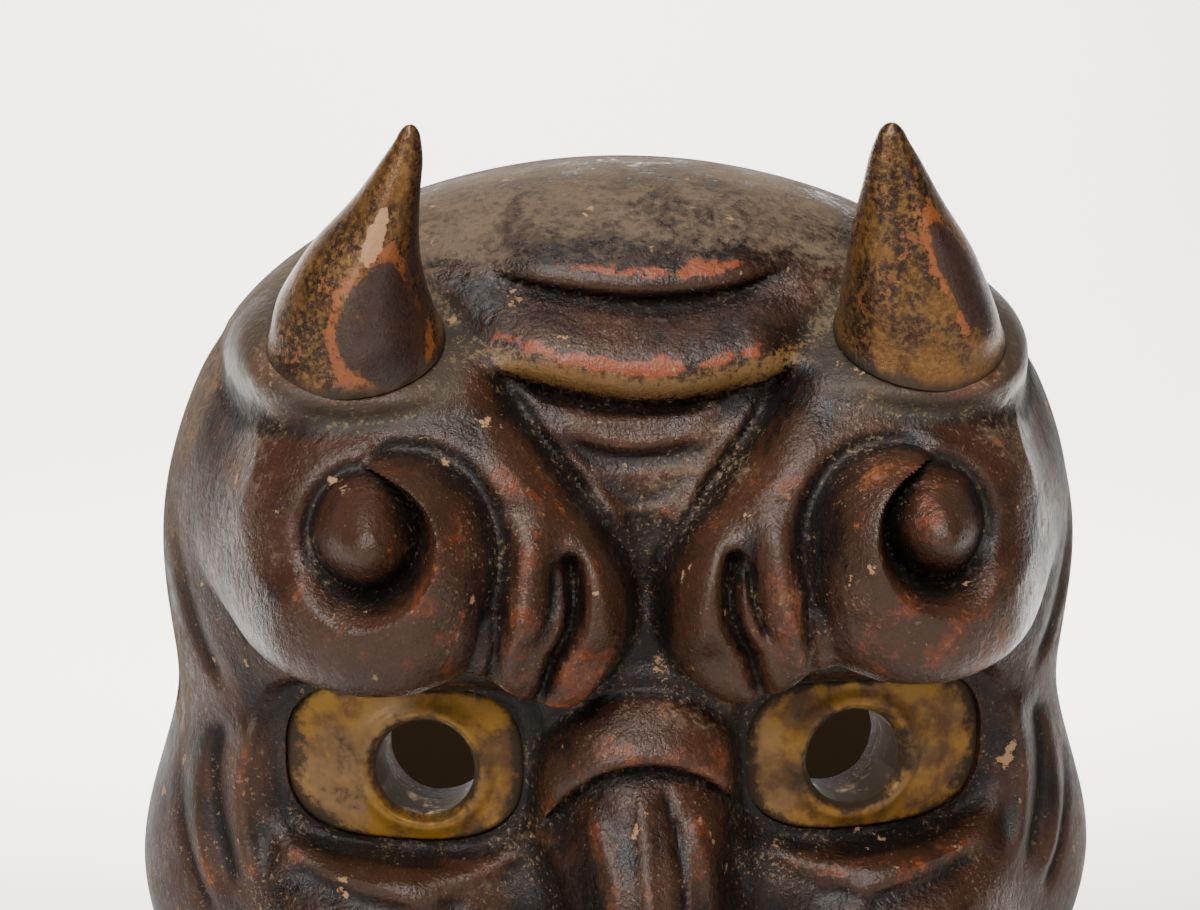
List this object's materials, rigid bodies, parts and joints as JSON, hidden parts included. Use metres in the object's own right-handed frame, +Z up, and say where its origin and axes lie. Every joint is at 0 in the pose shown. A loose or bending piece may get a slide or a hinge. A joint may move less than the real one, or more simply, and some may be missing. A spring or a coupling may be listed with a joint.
{
  "type": "noh mask",
  "caption": "Hollow carved and lacquered wooden demon mask with two horns, scrolled brow rolls, pierced gilt eyes and an open fanged mouth, flat at the back rim.",
  "frame": {"origin": "middle of the back, in the plane of the flat rim that rests on the wearer or the wall", "axes": "+Z up to the crown, +X to the viewer's right, the face looks along -Y and the hollow opens along +Y"},
  "size_m": [0.1836, 0.0948, 0.2221],
  "materials": {
    "lacquered_wood": "dark red-brown lacquer over cypress, semi-gloss, rubbed through to red on the ridges",
    "gilt_horn": "worn gilding over red lacquer, semi-gloss",
    "gilt_eye": "ochre gilding, satin, dark grime in the corners",
    "gilt_teeth": "ochre gilding, satin",
    "bamboo": "bare bamboo"
  },
  "bodies": {
    "root": {"face_shell": "lacquered_wood", "left_brow": "lacquered_wood", "right_brow": "lacquered_wood", "left_horn": "gilt_horn", "right_horn": "gilt_horn", "left_horn_peg": "bamboo", "right_horn_peg": "bamboo", "left_brow_pegs": "bamboo", "right_brow_pegs": "bamboo", "left_eye": "gilt_eye", "right_eye": "gilt_eye", "upper_teeth": "gilt_teeth", "lower_teeth": "gilt_teeth", "upper_left_fang": "gilt_teeth", "upper_right_fang": "gilt_teeth", "lower_left_fang": "gilt_teeth", "lower_right_fang": "gilt_teeth"}
  },
  "joints": []
}
